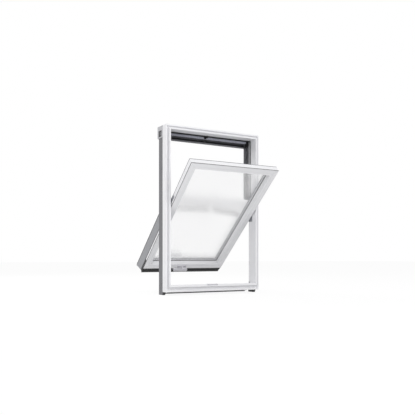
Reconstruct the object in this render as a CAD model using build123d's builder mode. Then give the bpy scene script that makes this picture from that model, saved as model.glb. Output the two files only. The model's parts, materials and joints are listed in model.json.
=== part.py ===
"""Centre-pivot roof window, 78 x 118 cm, with its sash standing open on two curved side guides.

Millimetres. X runs across the window, +Y from the room to the outside and +Z up along the roof.
The origin is the middle of the frame's flat underside. The sash is drawn in its closed place, on
planes that on_sash carries to its open place.
"""

from build123d import *
import os

os.makedirs("parts", exist_ok=True)

# Frame: its outside size, and its welded plastic section seen from the room
FRAME_WIDTH = 780.0
FRAME_HEIGHT = 1180.0
FRAME_DEPTH = 97.0
JAMB_FACE = 34.0
BOTTOM_FACE = 50.0
INNER_LIP = 11.0
OUTER_LIP = 10.0
OUTER_LIP_SETBACK = 13.0
LINING_GROOVE_DEPTH = 25.0
FRONT_LIP_DEPTH = 31.0
SILL_HEIGHT = 8.0
LIP_ROUND = 1.5
SOFT_ROUND = 3.0

# Sash: running gaps to the frame, and its section
SASH_SIDE_GAP = 6.0
SASH_TOP_GAP = 7.0
SASH_BOTTOM_GAP = 6.0
SASH_RECESS = 24.0
SASH_FACE = 50.0
SASH_SIDE = 45.0
SASH_EDGE_CHAMFER = 3.0
GLASS_EDGE_INSET = 35.0
WALL_CLEARANCE = 0.3

# Sealed glass unit
PANE_THICKNESS = 4.0
PANE_SPACE = 16.0
SPACER_WIDTH = 8.0
SPACER_INSET = 5.0
GASKET_THICKNESS = 2.5
GASKET_WIDTH = 12.0
GASKET_PROUD = 0.8
OUTER_GASKET_WIDTH = 3.0
OUTER_GASKET_THICKNESS = 2.0

# How far the sash is turned, and the axis that both guides curve about
OPEN_ANGLE = 49.5
AXIS_BEHIND_FRAME = 65.0
AXIS_HEIGHT = 647.0

# Aluminium covers, folded from sheet
SHEET = 1.2
BEND_RADIUS = 1.5
FOLD_GAP = 0.3
CLADDING_ON_FRAME = 29.0
CLADDING_REBATE = 1.5
CLADDING_BEHIND_FRAME = 37.0
CLADDING_DROP = 22.0
GUTTER_WIDTH = 10.0
COVER_OVERHANG = 26.0
COVER_LIP = 9.0
UPPER_COVER_ABOVE_AXIS = 50.0

# Hood over the head
HOOD_BEHIND_FRAME = 55.0
HOOD_RISE = 2.0
HOOD_DROP = 84.0
HOOD_LIP_WIDTH = 15.0
HOOD_LIP_HEIGHT = 10.0
HOOD_END_THICKNESS = 2.0
HOOD_END_OPENING_START = 14.0
HOOD_END_OPENING_WIDTH = 50.0
HOOD_END_OPENING_RISE = 9.0
HOOD_END_OPENING_HEIGHT = 44.0
HEAD_PROFILE_DROP = 20.0
HEAD_PROFILE_RISE = 18.0
HEAD_PROFILE_FLANGE = 13.0
HEAD_PROFILE_THICKNESS = 2.0

# Cladding and black end pieces under the frame
APRON_TOP_LEAF = 25.0
APRON_FALL = 13.0
APRON_START_DROP = 6.0
APRON_DRIP = 5.0
WEDGE_LEAD = 17.0
WEDGE_WIDTH = 16.0
WEDGE_SLOPE = 12.0

# Seals on the frame
SEAL_THICKNESS = 4.0
SEAL_WIDTH = 10.0
SEAL_FROM_BACK = 25.0
HEAD_SEAL_THICKNESS = 8.0
HEAD_SEAL_WIDTH = 13.0
HEAD_SEAL_FROM_BACK = 15.0

# Covers on the sash
COVER_ON_GLASS = 48.0
COVER_ABOVE_GLASS = 6.0
COVER_SETBACK = 20.0
SIDE_RIB_DEPTH = 116.0
SIDE_RIB_WIDTH = 9.0
SKIRT_START = 24.0
SKIRT_LAP = 15.0
SKIRT_BELOW_ARM = 15.0
TAIL_DROP = 95.0
TAIL_ROOM_DROP = 44.0
TAIL_SLOT = 17.0
COVER_MEETING_GAP = 5.0
COVER_JOINT_GAP = 2.0
BOTTOM_COVER_DROP = 36.0
BOTTOM_COVER_TURN = 12.0

# Apron and seal below the sash's bottom rail
SASH_APRON_START = 12.0
SASH_APRON_DROP = 46.0
SASH_APRON_DEPTH = 30.0
SASH_APRON_THICKNESS = 2.0
SASH_SEAL_WIDTH = 4.0
SASH_SEAL_HEIGHT = 12.0
SASH_SEAL_LIFT = 1.0

# Black blocks on the sash's lower corners
BLOCK_LENGTH = 118.0
BLOCK_DROP = 30.0
BLOCK_START = 8.0
BLOCK_WIDTH = 15.5
BLOCK_THICKNESS = 3.0

# Curved side guides: a slotted plate on each jamb and an arm with an arc shoe on each stile
GUIDE_RADIUS = 106.0
GUIDE_SLOT_WIDTH = 8.0
GUIDE_CLEARANCE = 0.3
GUIDE_PLATE_THICKNESS = 3.0
GUIDE_PLATE_START = 50.0
GUIDE_PLATE_WIDTH = 45.0
GUIDE_PLATE_BELOW_AXIS = 125.0
GUIDE_PLATE_ABOVE_AXIS = 75.0
GUIDE_PLATE_ROUND = 6.0
SHOE_START_ANGLE = 145.5
SHOE_SWEEP_ANGLE = 25.0
SHOE_MARGIN = 3.0
ARM_THICKNESS = 2.5
ARM_START = 20.0
ARM_WIDTH = 24.0
ARM_BELOW_AXIS = 72.0
ARM_ABOVE_AXIS = 165.0
ARM_ROUND = 5.0
ARM_LOBE = 20.0

# Handle, keeper and catch
HANDLE_OFFSET = -25.0
HANDLE_BASE_LENGTH = 78.0
HANDLE_BASE_HEIGHT = 28.0
HANDLE_BASE_THICKNESS = 9.0
HANDLE_HEIGHT_ON_RAIL = 24.0
HANDLE_BASE_ROUND = 5.0
HANDLE_BASE_CHAMFER = 2.5
HANDLE_NECK_RADIUS = 9.0
HANDLE_NECK_LENGTH = 17.0
LEVER_LENGTH = 119.0
LEVER_SHORT_END = 34.0
LEVER_HEIGHT = 28.0
LEVER_TIP_HEIGHT = 24.0
LEVER_THICKNESS = 18.0
LEVER_ROUND = 3.0
LEVER_CORNER_ROUND = 6.0
KEEPER_LENGTH = 88.0
KEEPER_OFFSET = -21.0
KEEPER_THICKNESS = 1.5
KEEPER_TURN_DOWN = 8.0
KEEPER_LEAF = 22.0
CATCH_OFFSET = -25.0
CATCH_WIDTH = 8.0
CATCH_DROP = 18.0
CATCH_DEPTH = 7.0

# Places that follow from the sizes above
ROOM_Y = -FRAME_DEPTH / 2
BACK_Y = FRAME_DEPTH / 2
HALF_WIDTH = FRAME_WIDTH / 2
HALF_OPENING = HALF_WIDTH - JAMB_FACE
HEAD_UNDERSIDE = FRAME_HEIGHT - JAMB_FACE
SASH_WIDTH = 2 * (HALF_OPENING - SASH_SIDE_GAP)
SASH_BOTTOM = BOTTOM_FACE + SASH_BOTTOM_GAP
SASH_TOP = HEAD_UNDERSIDE - SASH_TOP_GAP
SASH_HEIGHT = SASH_TOP - SASH_BOTTOM
SASH_MIDDLE = (SASH_TOP + SASH_BOTTOM) / 2
SASH_Y = ROOM_Y + SASH_RECESS
GLASS_FLOOR = SASH_SIDE - PANE_THICKNESS / 2 - PANE_THICKNESS
INNER_PANE_DEPTH = GLASS_FLOOR + GASKET_THICKNESS
OUTER_PANE_DEPTH = INNER_PANE_DEPTH + PANE_THICKNESS + PANE_SPACE
GLASS_TOP_DEPTH = OUTER_PANE_DEPTH + PANE_THICKNESS
COVER_DEPTH = GLASS_TOP_DEPTH + COVER_ABOVE_GLASS
AXIS_Y = BACK_Y + AXIS_BEHIND_FRAME
CLADDING_Y = BACK_Y + CLADDING_BEHIND_FRAME
CLADDING_START_Y = BACK_Y - CLADDING_ON_FRAME
CLAD_HALF_WIDTH = HALF_WIDTH - CLADDING_REBATE + SHEET
CLAD_TOP = FRAME_HEIGHT - CLADDING_REBATE + SHEET
HOOD_Y = BACK_Y + HOOD_BEHIND_FRAME
HOOD_TOP = FRAME_HEIGHT + HOOD_RISE
HOOD_BOTTOM = FRAME_HEIGHT - HOOD_DROP
UPPER_COVER_BOTTOM = AXIS_HEIGHT + UPPER_COVER_ABOVE_AXIS
LOWER_COVER_TOP = UPPER_COVER_BOTTOM - COVER_MEETING_GAP
GUIDE_PLATE_BOTTOM = AXIS_HEIGHT - GUIDE_PLATE_BELOW_AXIS
GUIDE_PLATE_TOP = AXIS_HEIGHT + GUIDE_PLATE_ABOVE_AXIS
ARM_BOTTOM = AXIS_HEIGHT - ARM_BELOW_AXIS
ARM_TOP = AXIS_HEIGHT + ARM_ABOVE_AXIS
SKIRT_TOP = ARM_BOTTOM - SKIRT_BELOW_ARM
TAIL_BOTTOM = SASH_BOTTOM - TAIL_DROP
SILL_HALF_WIDTH = HALF_OPENING - TAIL_SLOT
OPEN_SWING = (
    Location((0, AXIS_Y, AXIS_HEIGHT))
    * Location((0, 0, 0), (OPEN_ANGLE, 0, 0))
    * Location((0, -AXIS_Y, -AXIS_HEIGHT))
)


def on_sash(plane):
    """A plane of the closed sash, carried to the sash's open place."""
    return Plane(OPEN_SWING * plane.location)


def rim_planes(width, low, high, front):
    """Section planes along a rectangular rim: x runs inward from the rim, y towards the outside."""
    outward = (0, 1, 0)
    corners = {
        "left": ((-width / 2, front, low), (1, 0, 0)),
        "right": ((width / 2, front, high), (-1, 0, 0)),
        "top": ((-width / 2, front, high), (0, 0, -1)),
        "bottom": ((width / 2, front, low), (0, 0, 1)),
    }
    return {
        side: Plane(origin=origin, x_dir=inward, z_dir=Vector(*inward).cross(Vector(*outward)))
        for side, (origin, inward) in corners.items()
    }


def mitre(side, height, run, rise, toward):
    """The plane through a rim's corner along (run, rise), facing the member that keeps its side."""
    corner = Vector(side, 0, height)
    normal = Vector(rise, 0, -run)
    if normal.dot(Vector(*toward) - corner) < 0:
        normal = -normal
    return Plane(origin=corner, z_dir=normal)


def section(points):
    """A filled outline in the active sketch."""
    with BuildLine() as outline:
        Polyline(*points, close=True)
    make_face(outline.edges())


def sheet(points):
    """A folded sheet along a centre line, in the active sketch."""
    with BuildLine() as centre_line:
        FilletPolyline(*points, radius=BEND_RADIUS)
    trace(centre_line.edges(), line_width=SHEET)


def frame_lips(face, back):
    """Outline of a frame member: outer lip, lining groove and inner lip, then the corners of its back."""
    outer_lip = OUTER_LIP * face / JAMB_FACE
    inner_lip = INNER_LIP * face / JAMB_FACE
    section(
        [
            (0, OUTER_LIP_SETBACK),
            (outer_lip, OUTER_LIP_SETBACK),
            (outer_lip, LINING_GROOVE_DEPTH),
            (face - inner_lip, LINING_GROOVE_DEPTH),
            (face - inner_lip, 0),
            (face, 0),
            *back,
        ]
    )
    fillet(vertices().group_by(Axis.Y)[0], LIP_ROUND)


def sash_section():
    """Outline of a stile or rail: chamfered face, rebate floor for the glass and a set-back outer wall."""
    wall_start = COVER_SETBACK + SHEET + FOLD_GAP
    wall_end = GLASS_EDGE_INSET - WALL_CLEARANCE
    section(
        [
            (0, 0),
            (SASH_FACE - SASH_EDGE_CHAMFER, 0),
            (SASH_FACE, SASH_EDGE_CHAMFER),
            (SASH_FACE, GLASS_FLOOR),
            (wall_end, GLASS_FLOOR),
            (wall_end, OUTER_PANE_DEPTH),
            (wall_start, OUTER_PANE_DEPTH),
            (wall_start, SASH_SIDE),
            (0, SASH_SIDE),
        ]
    )


def finish(builder, name):
    """Names a piece and writes it."""
    builder.part.label = name
    export_step(builder.part, f"parts/{name}.step")


lip_back = [(BOTTOM_FACE, FRONT_LIP_DEPTH), (0, FRONT_LIP_DEPTH)]
rebated_back = [
    (JAMB_FACE, FRAME_DEPTH),
    (CLADDING_REBATE, FRAME_DEPTH),
    (CLADDING_REBATE, FRAME_DEPTH - CLADDING_ON_FRAME),
    (0, FRAME_DEPTH - CLADDING_ON_FRAME),
]
frame_planes = rim_planes(FRAME_WIDTH, 0, FRAME_HEIGHT, ROOM_Y)
sash_planes = rim_planes(SASH_WIDTH, SASH_BOTTOM, SASH_TOP, SASH_Y)

# Frame: head, bottom rail and two jambs, welded at mitred corners

with BuildPart() as frame_head:
    with BuildSketch(frame_planes["top"]):
        frame_lips(JAMB_FACE, rebated_back)
    extrude(amount=FRAME_WIDTH)
    for side in (-1, 1):
        head_middle = (0, 0, FRAME_HEIGHT)
        corner_cut = mitre(side * HALF_WIDTH, FRAME_HEIGHT, side * JAMB_FACE, JAMB_FACE, head_middle)
        split(bisect_by=corner_cut, keep=Keep.TOP)

with BuildPart() as frame_bottom_rail:
    with BuildSketch(frame_planes["bottom"]):
        frame_lips(BOTTOM_FACE, lip_back)
    extrude(amount=FRAME_WIDTH)
    for side in (-1, 1):
        corner_cut = mitre(side * HALF_WIDTH, 0, -side * JAMB_FACE, BOTTOM_FACE, (0, 0, 0))
        split(bisect_by=corner_cut, keep=Keep.TOP)
    with BuildSketch(Plane.YZ.offset(-SILL_HALF_WIDTH)):
        with Locations((BACK_Y, 0)):
            Rectangle(FRAME_DEPTH - FRONT_LIP_DEPTH, SILL_HEIGHT, align=(Align.MAX, Align.MIN))
        fillet(vertices().group_by(Axis.X)[-1].sort_by(Axis.Y)[-1], BEND_RADIUS)
    extrude(amount=2 * SILL_HALF_WIDTH)


def make_jamb(name, side):
    """A full-height jamb, cut for the head's mitre and for the bottom rail's lip."""
    with BuildPart() as jamb:
        with BuildSketch(frame_planes["left" if side < 0 else "right"]):
            frame_lips(JAMB_FACE, rebated_back)
        extrude(amount=FRAME_HEIGHT)
        edge = side * HALF_WIDTH
        opening = side * HALF_OPENING
        split(bisect_by=mitre(edge, FRAME_HEIGHT, side * JAMB_FACE, JAMB_FACE, (edge, 0, 0)), keep=Keep.TOP)
        with BuildSketch(Plane.XZ.offset(-ROOM_Y)):
            section([(edge, 0), (opening, 0), (opening, BOTTOM_FACE)])
        extrude(amount=-FRONT_LIP_DEPTH, mode=Mode.SUBTRACT)
    finish(jamb, name)


def make_side_cladding(name, side):
    """Folded gutter on the jamb's outer side, from below the frame to the hood, with a foot on its back."""
    outer = CLAD_HALF_WIDTH - SHEET / 2
    foot = CLAD_HALF_WIDTH - GUTTER_WIDTH
    top = CLADDING_Y - SHEET / 2
    with BuildPart() as cladding:
        with BuildSketch(Plane.XY.offset(-CLADDING_DROP)):
            sheet(
                [
                    (side * outer, CLADDING_START_Y),
                    (side * outer, top),
                    (side * foot, top),
                    (side * foot, BACK_Y),
                ]
            )
        extrude(amount=CLAD_TOP - SHEET + CLADDING_DROP)
    finish(cladding, name)


def make_upper_cover(name, side):
    """Upper half's fixed cover: a hat on the jamb's back whose brim hangs over the sash's edge."""
    gutter_side = CLAD_HALF_WIDTH - GUTTER_WIDTH - FOLD_GAP - SHEET
    brim = HALF_OPENING - COVER_OVERHANG + SHEET / 2
    top = CLADDING_Y - SHEET / 2
    with BuildPart() as cover:
        with BuildSketch(Plane.XY.offset(UPPER_COVER_BOTTOM)):
            sheet(
                [
                    (side * gutter_side, BACK_Y),
                    (side * gutter_side, top),
                    (side * brim, top),
                    (side * brim, top - COVER_LIP),
                ]
            )
            with Locations((side * (HALF_OPENING + SHEET / 2), (BACK_Y + top) / 2)):
                Rectangle(SHEET, top - BACK_Y)
        extrude(amount=CLAD_TOP - SHEET - UPPER_COVER_BOTTOM)
    finish(cover, name)


def make_hood_end(name, side):
    """Plate that closes one end of the hood round the opening that shows the cladding's edge."""
    with BuildPart() as end:
        with BuildSketch(Plane.YZ.offset(side * (CLAD_HALF_WIDTH + FOLD_GAP))):
            section(
                [
                    (CLADDING_START_Y, CLAD_TOP),
                    (BACK_Y, CLAD_TOP),
                    (HOOD_Y, HOOD_TOP),
                    (HOOD_Y, HOOD_BOTTOM),
                    (CLADDING_START_Y, HOOD_BOTTOM),
                ]
            )
            fillet(vertices().sort_by(Axis.Y)[:2], SOFT_ROUND)
            opening_middle = (
                CLADDING_START_Y + HOOD_END_OPENING_START + HOOD_END_OPENING_WIDTH / 2,
                HOOD_BOTTOM + HOOD_END_OPENING_RISE + HOOD_END_OPENING_HEIGHT / 2,
            )
            with Locations(opening_middle):
                RectangleRounded(
                    HOOD_END_OPENING_WIDTH, HOOD_END_OPENING_HEIGHT, SOFT_ROUND, mode=Mode.SUBTRACT
                )
        extrude(amount=side * HOOD_END_THICKNESS)
    finish(end, name)


def make_end_wedge(name, side):
    """Black wedge below the frame's corner, which closes the lower end of the side cladding."""
    with BuildPart() as wedge:
        wedge_outside = CLAD_HALF_WIDTH - SHEET
        with BuildSketch(Plane.YZ.offset(side * (wedge_outside - WEDGE_WIDTH))):
            section(
                [
                    (CLADDING_START_Y - WEDGE_LEAD, 0),
                    (CLADDING_START_Y - WEDGE_LEAD + WEDGE_SLOPE, -CLADDING_DROP),
                    (CLADDING_Y - SHEET - BEND_RADIUS, -CLADDING_DROP),
                    (CLADDING_Y - SHEET - BEND_RADIUS, 0),
                ]
            )
        extrude(amount=side * WEDGE_WIDTH)
        gutter_foot = CLAD_HALF_WIDTH - GUTTER_WIDTH
        with BuildSketch(Plane.XY.offset(-CLADDING_DROP)):
            with Locations((side * gutter_foot, CLADDING_Y)):
                foot_depth = CLADDING_Y - BACK_Y + FOLD_GAP
                Rectangle(SHEET + 2 * FOLD_GAP, foot_depth, align=(Align.CENTER, Align.MAX))
        extrude(amount=CLADDING_DROP, mode=Mode.SUBTRACT)
    finish(wedge, name)


def make_upper_seal(name, side):
    """Rounded rubber bead along the upper half of a jamb's inner face."""
    with BuildPart() as seal:
        with BuildSketch(Plane.XY.offset(GUIDE_PLATE_TOP + SHOE_MARGIN)):
            with Locations((side * (HALF_OPENING - SEAL_THICKNESS / 2), BACK_Y - SEAL_FROM_BACK)):
                Rectangle(SEAL_THICKNESS, SEAL_WIDTH, align=(Align.CENTER, Align.MIN))
            across = vertices().sort_by(Axis.X)
            fillet(across[:2] if side > 0 else across[2:], LIP_ROUND)
        extrude(amount=HEAD_UNDERSIDE - GUIDE_PLATE_TOP - SHOE_MARGIN)
    finish(seal, name)


def guide_arc(start, sweep):
    """An arc of the guides' circle about the turning axis, on a plane across the window."""
    return CenterArc((AXIS_Y, AXIS_HEIGHT), GUIDE_RADIUS, start, sweep)


def make_frame_guide(name, side):
    """Steel plate on a jamb, with the arc slot that the sash's shoe runs in from closed to open."""
    with BuildPart() as guide:
        with BuildSketch(Plane.YZ.offset(side * HALF_OPENING)):
            with Locations((ROOM_Y + GUIDE_PLATE_START, GUIDE_PLATE_BOTTOM)):
                RectangleRounded(
                    GUIDE_PLATE_WIDTH,
                    GUIDE_PLATE_TOP - GUIDE_PLATE_BOTTOM,
                    GUIDE_PLATE_ROUND,
                    align=(Align.MIN, Align.MIN),
                )
            with BuildLine(mode=Mode.PRIVATE) as slot:
                guide_arc(SHOE_START_ANGLE, SHOE_SWEEP_ANGLE + OPEN_ANGLE)
            SlotArc(slot.edges()[0], GUIDE_SLOT_WIDTH, mode=Mode.SUBTRACT)
        extrude(amount=-side * GUIDE_PLATE_THICKNESS)
    finish(guide, name)


def make_sash_arm(name, side):
    """Steel arm on a stile, with the arc-shaped shoe that carries the sash in the jamb's slot."""
    with BuildPart() as arm:
        with BuildSketch(on_sash(Plane.YZ.offset(side * SASH_WIDTH / 2))):
            with Locations((SASH_Y + ARM_START, ARM_BOTTOM)):
                RectangleRounded(ARM_WIDTH, ARM_TOP - ARM_BOTTOM, ARM_ROUND, align=(Align.MIN, Align.MIN))
            with BuildLine(mode=Mode.PRIVATE) as lobe:
                guide_arc(SHOE_START_ANGLE, SHOE_SWEEP_ANGLE)
            SlotArc(lobe.edges()[0], ARM_LOBE)
        extrude(amount=side * ARM_THICKNESS)
        with BuildSketch(on_sash(Plane.YZ.offset(side * (SASH_WIDTH / 2 + ARM_THICKNESS)))):
            with BuildLine(mode=Mode.PRIVATE) as shoe:
                guide_arc(SHOE_START_ANGLE, SHOE_SWEEP_ANGLE)
            SlotArc(shoe.edges()[0], GUIDE_SLOT_WIDTH - 2 * GUIDE_CLEARANCE)
        extrude(amount=side * (SASH_SIDE_GAP - ARM_THICKNESS - GUIDE_CLEARANCE))
    finish(arm, name)


def make_sash_member(name, side):
    """One stile or rail, mitred at both ends."""
    run = SASH_WIDTH if side in ("top", "bottom") else SASH_HEIGHT
    middles = {
        "left": (-SASH_WIDTH / 2, 0, SASH_MIDDLE),
        "right": (SASH_WIDTH / 2, 0, SASH_MIDDLE),
        "top": (0, 0, SASH_TOP),
        "bottom": (0, 0, SASH_BOTTOM),
    }
    corners = {
        "left": ((-1, SASH_TOP, 1), (-1, SASH_BOTTOM, -1)),
        "right": ((1, SASH_TOP, 1), (1, SASH_BOTTOM, -1)),
        "top": ((-1, SASH_TOP, 1), (1, SASH_TOP, 1)),
        "bottom": ((-1, SASH_BOTTOM, -1), (1, SASH_BOTTOM, -1)),
    }
    with BuildPart() as member:
        with BuildSketch(on_sash(sash_planes[side])):
            sash_section()
        extrude(amount=run)
        for across, height, rise in corners[side]:
            cut = mitre(across * SASH_WIDTH / 2, height, across, rise, middles[side])
            split(bisect_by=on_sash(cut), keep=Keep.TOP)
    finish(member, name)


def cover_strip():
    """Low cover section: up the sash's set-back wall, over the glass's edge and down to its gasket."""
    sheet(
        [
            (COVER_SETBACK + SHEET / 2, SASH_SIDE),
            (COVER_SETBACK + SHEET / 2, COVER_DEPTH - SHEET / 2),
            (COVER_ON_GLASS - SHEET / 2, COVER_DEPTH - SHEET / 2),
            (COVER_ON_GLASS - SHEET / 2, GLASS_TOP_DEPTH + OUTER_GASKET_THICKNESS),
        ]
    )


def make_upper_sash_cover(name, side):
    """Low cover on the sash's upper side, which passes under the frame's fixed cover."""
    hand = "left" if side < 0 else "right"
    with BuildPart() as cover:
        with BuildSketch(on_sash(sash_planes[hand])):
            cover_strip()
        extrude(amount=SASH_HEIGHT)
        edge = side * SASH_WIDTH / 2
        corner_cut = mitre(edge, SASH_TOP, side, 1, (edge, 0, SASH_MIDDLE))
        split(bisect_by=on_sash(corner_cut), keep=Keep.TOP)
        joint = Plane(origin=(0, 0, LOWER_COVER_TOP + COVER_JOINT_GAP), z_dir=(0, 0, 1))
        split(bisect_by=on_sash(joint), keep=Keep.TOP)
    finish(cover, name)


def make_lower_sash_cover(name, side):
    """Cover on the sash's lower side: a rib with a skirt and a tail, and a low strip on the glass."""
    rib_top = SIDE_RIB_DEPTH - SHEET / 2
    rib_inside = SIDE_RIB_WIDTH - SHEET / 2
    strip = COVER_DEPTH - SHEET / 2
    glass_side = COVER_ON_GLASS - SHEET / 2

    def across(height):
        """The cover's section plane at a height: x runs inward from the sash's side."""
        edge = (side * SASH_WIDTH / 2, SASH_Y, height)
        return on_sash(Plane(edge, x_dir=(-side, 0, 0), z_dir=(0, 0, -side)))

    with BuildPart() as cover:
        with BuildSketch(across(LOWER_COVER_TOP)):
            sheet(
                [
                    (SHEET / 2, SASH_SIDE),
                    (SHEET / 2, rib_top),
                    (rib_inside, rib_top),
                    (rib_inside, strip),
                    (glass_side, strip),
                    (glass_side, GLASS_TOP_DEPTH + OUTER_GASKET_THICKNESS),
                ]
            )
        extrude(amount=side * (LOWER_COVER_TOP - TAIL_BOTTOM))
        with BuildSketch(across(SKIRT_TOP)):
            with Locations((0, SKIRT_START)):
                Rectangle(SHEET, SASH_SIDE + SKIRT_LAP - SKIRT_START, align=(Align.MAX, Align.MIN))
        extrude(amount=side * (SKIRT_TOP - TAIL_BOTTOM))
        with BuildSketch(flat_on_sash(GLASS_TOP_DEPTH)):
            with Locations((side * (SASH_WIDTH / 2 - SIDE_RIB_WIDTH), SASH_MIDDLE - TAIL_BOTTOM)):
                toward_middle = Align.MAX if side > 0 else Align.MIN
                notch_height = COVER_ON_GLASS + FOLD_GAP + TAIL_DROP
                Rectangle(COVER_ON_GLASS, notch_height, align=(toward_middle, Align.MAX))
        extrude(amount=COVER_ABOVE_GLASS + FOLD_GAP, mode=Mode.SUBTRACT)
        tail_end = Plane(
            origin=(0, SASH_Y + SKIRT_START, SASH_BOTTOM - TAIL_ROOM_DROP),
            z_dir=(0, TAIL_DROP - TAIL_ROOM_DROP, SIDE_RIB_DEPTH - SKIRT_START),
        )
        split(bisect_by=on_sash(tail_end), keep=Keep.TOP)
    finish(cover, name)


def make_corner_block(name, side):
    """Black block on the white side of the sash's lower corner."""
    with BuildPart() as block:
        with BuildSketch(on_sash(Plane.YZ.offset(side * SASH_WIDTH / 2))):
            with Locations((SASH_Y + BLOCK_START, SASH_BOTTOM - BLOCK_DROP)):
                Rectangle(BLOCK_WIDTH, BLOCK_LENGTH, align=(Align.MIN, Align.MIN))
            fillet(vertices().group_by(Axis.Y)[-1], SOFT_ROUND)
        extrude(amount=side * BLOCK_THICKNESS)
    finish(block, name)


def flat_on_sash(depth):
    """A plane parallel to the glass at a depth from the sash's face, its z towards the outside."""
    return on_sash(Plane(origin=(0, SASH_Y + depth, SASH_MIDDLE), x_dir=(1, 0, 0), z_dir=(0, 1, 0)))


def rim(inset, width):
    """A ring in the active sketch, at an inset from the sash's outer edge."""
    Rectangle(SASH_WIDTH - 2 * inset, SASH_HEIGHT - 2 * inset)
    inner = inset + width
    Rectangle(SASH_WIDTH - 2 * inner, SASH_HEIGHT - 2 * inner, mode=Mode.SUBTRACT)


def make_ring(name, depth, thickness, inset, width):
    """A flat ring round the glass."""
    with BuildPart() as ring:
        with BuildSketch(flat_on_sash(depth)):
            rim(inset, width)
        extrude(amount=thickness)
    finish(ring, name)


def make_pane(name, depth):
    """One sheet of glass."""
    with BuildPart() as pane:
        with BuildSketch(flat_on_sash(depth)):
            Rectangle(SASH_WIDTH - 2 * GLASS_EDGE_INSET, SASH_HEIGHT - 2 * GLASS_EDGE_INSET)
        extrude(amount=PANE_THICKNESS)
    finish(pane, name)


finish(frame_head, "frame_head")
finish(frame_bottom_rail, "frame_bottom_rail")

# Hood over the head, with the black profile and the seal behind the head's inner edge

with BuildPart() as top_hood:
    with BuildSketch(Plane.YZ.offset(-CLAD_HALF_WIDTH)):
        sheet(
            [
                (CLADDING_START_Y, CLAD_TOP - SHEET / 2),
                (BACK_Y, CLAD_TOP - SHEET / 2),
                (HOOD_Y - SHEET / 2, HOOD_TOP - SHEET / 2),
                (HOOD_Y - SHEET / 2, HOOD_BOTTOM + SHEET / 2),
                (HOOD_Y - HOOD_LIP_WIDTH, HOOD_BOTTOM + SHEET / 2),
                (HOOD_Y - HOOD_LIP_WIDTH, HOOD_BOTTOM + HOOD_LIP_HEIGHT),
            ]
        )
    extrude(amount=2 * CLAD_HALF_WIDTH)
finish(top_hood, "top_hood")

flange_bottom = HEAD_UNDERSIDE - HEAD_PROFILE_DROP

with BuildPart() as hood_inner_profile:
    with BuildSketch(Plane.YZ.offset(-HALF_OPENING + COVER_OVERHANG + FOLD_GAP)):
        section(
            [
                (BACK_Y, HEAD_UNDERSIDE + HEAD_PROFILE_RISE),
                (BACK_Y, flange_bottom),
                (BACK_Y + HEAD_PROFILE_FLANGE, flange_bottom),
                (BACK_Y + HEAD_PROFILE_FLANGE, flange_bottom + HEAD_PROFILE_THICKNESS),
                (BACK_Y + HEAD_PROFILE_THICKNESS, flange_bottom + HEAD_PROFILE_THICKNESS),
                (BACK_Y + HEAD_PROFILE_THICKNESS, HEAD_UNDERSIDE + HEAD_PROFILE_RISE),
            ]
        )
    extrude(amount=2 * (HALF_OPENING - COVER_OVERHANG - FOLD_GAP))
finish(hood_inner_profile, "hood_inner_profile")

with BuildPart() as head_seal:
    with BuildSketch(Plane.YZ.offset(-HALF_OPENING + SEAL_THICKNESS + FOLD_GAP)):
        with Locations((BACK_Y - HEAD_SEAL_FROM_BACK, HEAD_UNDERSIDE)):
            Rectangle(HEAD_SEAL_WIDTH, HEAD_SEAL_THICKNESS, align=(Align.MIN, Align.MAX))
        fillet(vertices().group_by(Axis.Y)[0], LIP_ROUND)
    extrude(amount=2 * (HALF_OPENING - SEAL_THICKNESS - FOLD_GAP))
finish(head_seal, "head_seal")

with BuildPart() as head_catch:
    with BuildSketch(Plane.XY.offset(HEAD_UNDERSIDE)):
        with Locations((CATCH_OFFSET, BACK_Y - HEAD_SEAL_FROM_BACK - FOLD_GAP)):
            Rectangle(CATCH_WIDTH, CATCH_DEPTH, align=(Align.CENTER, Align.MAX))
    extrude(amount=-CATCH_DROP)
finish(head_catch, "head_catch")

# Apron below the bottom rail, and the keeper on its lip

with BuildPart() as bottom_cladding:
    with BuildSketch(Plane.YZ.offset(-SILL_HALF_WIDTH)):
        sheet(
            [
                (BACK_Y - APRON_TOP_LEAF, SILL_HEIGHT + SHEET / 2),
                (BACK_Y + SHEET / 2, SILL_HEIGHT + SHEET / 2),
                (BACK_Y + SHEET / 2, -APRON_START_DROP),
                (CLADDING_Y - SHEET, -APRON_FALL),
                (CLADDING_Y - SHEET, -APRON_FALL - APRON_DRIP),
            ]
        )
    extrude(amount=2 * SILL_HALF_WIDTH)
finish(bottom_cladding, "bottom_cladding")

with BuildPart() as keeper_plate:
    with BuildSketch(Plane.YZ.offset(KEEPER_OFFSET - KEEPER_LENGTH / 2)):
        section(
            [
                (ROOM_Y, BOTTOM_FACE - KEEPER_TURN_DOWN),
                (ROOM_Y, BOTTOM_FACE),
                (ROOM_Y + KEEPER_LEAF, BOTTOM_FACE),
                (ROOM_Y + KEEPER_LEAF, BOTTOM_FACE + KEEPER_THICKNESS),
                (ROOM_Y - KEEPER_THICKNESS, BOTTOM_FACE + KEEPER_THICKNESS),
                (ROOM_Y - KEEPER_THICKNESS, BOTTOM_FACE - KEEPER_TURN_DOWN),
            ]
        )
    extrude(amount=KEEPER_LENGTH)
finish(keeper_plate, "keeper_plate")

# Pieces that come in pairs

for side, hand in ((-1, "left"), (1, "right")):
    make_jamb(f"frame_{hand}_jamb", side)
    make_side_cladding(f"{hand}_side_cladding", side)
    make_upper_cover(f"{hand}_upper_cover", side)
    make_hood_end(f"{hand}_hood_end", side)
    make_end_wedge(f"{hand}_end_wedge", side)
    make_upper_seal(f"{hand}_upper_seal", side)
    make_frame_guide(f"{hand}_frame_guide", side)
    make_sash_arm(f"{hand}_sash_arm", side)
    make_sash_member(f"sash_{hand}_stile", hand)
    make_upper_sash_cover(f"{hand}_upper_sash_cover", side)
    make_lower_sash_cover(f"{hand}_lower_sash_cover", side)
    make_corner_block(f"{hand}_corner_block", side)
for place in ("top", "bottom"):
    make_sash_member(f"sash_{place}_rail", place)

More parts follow.
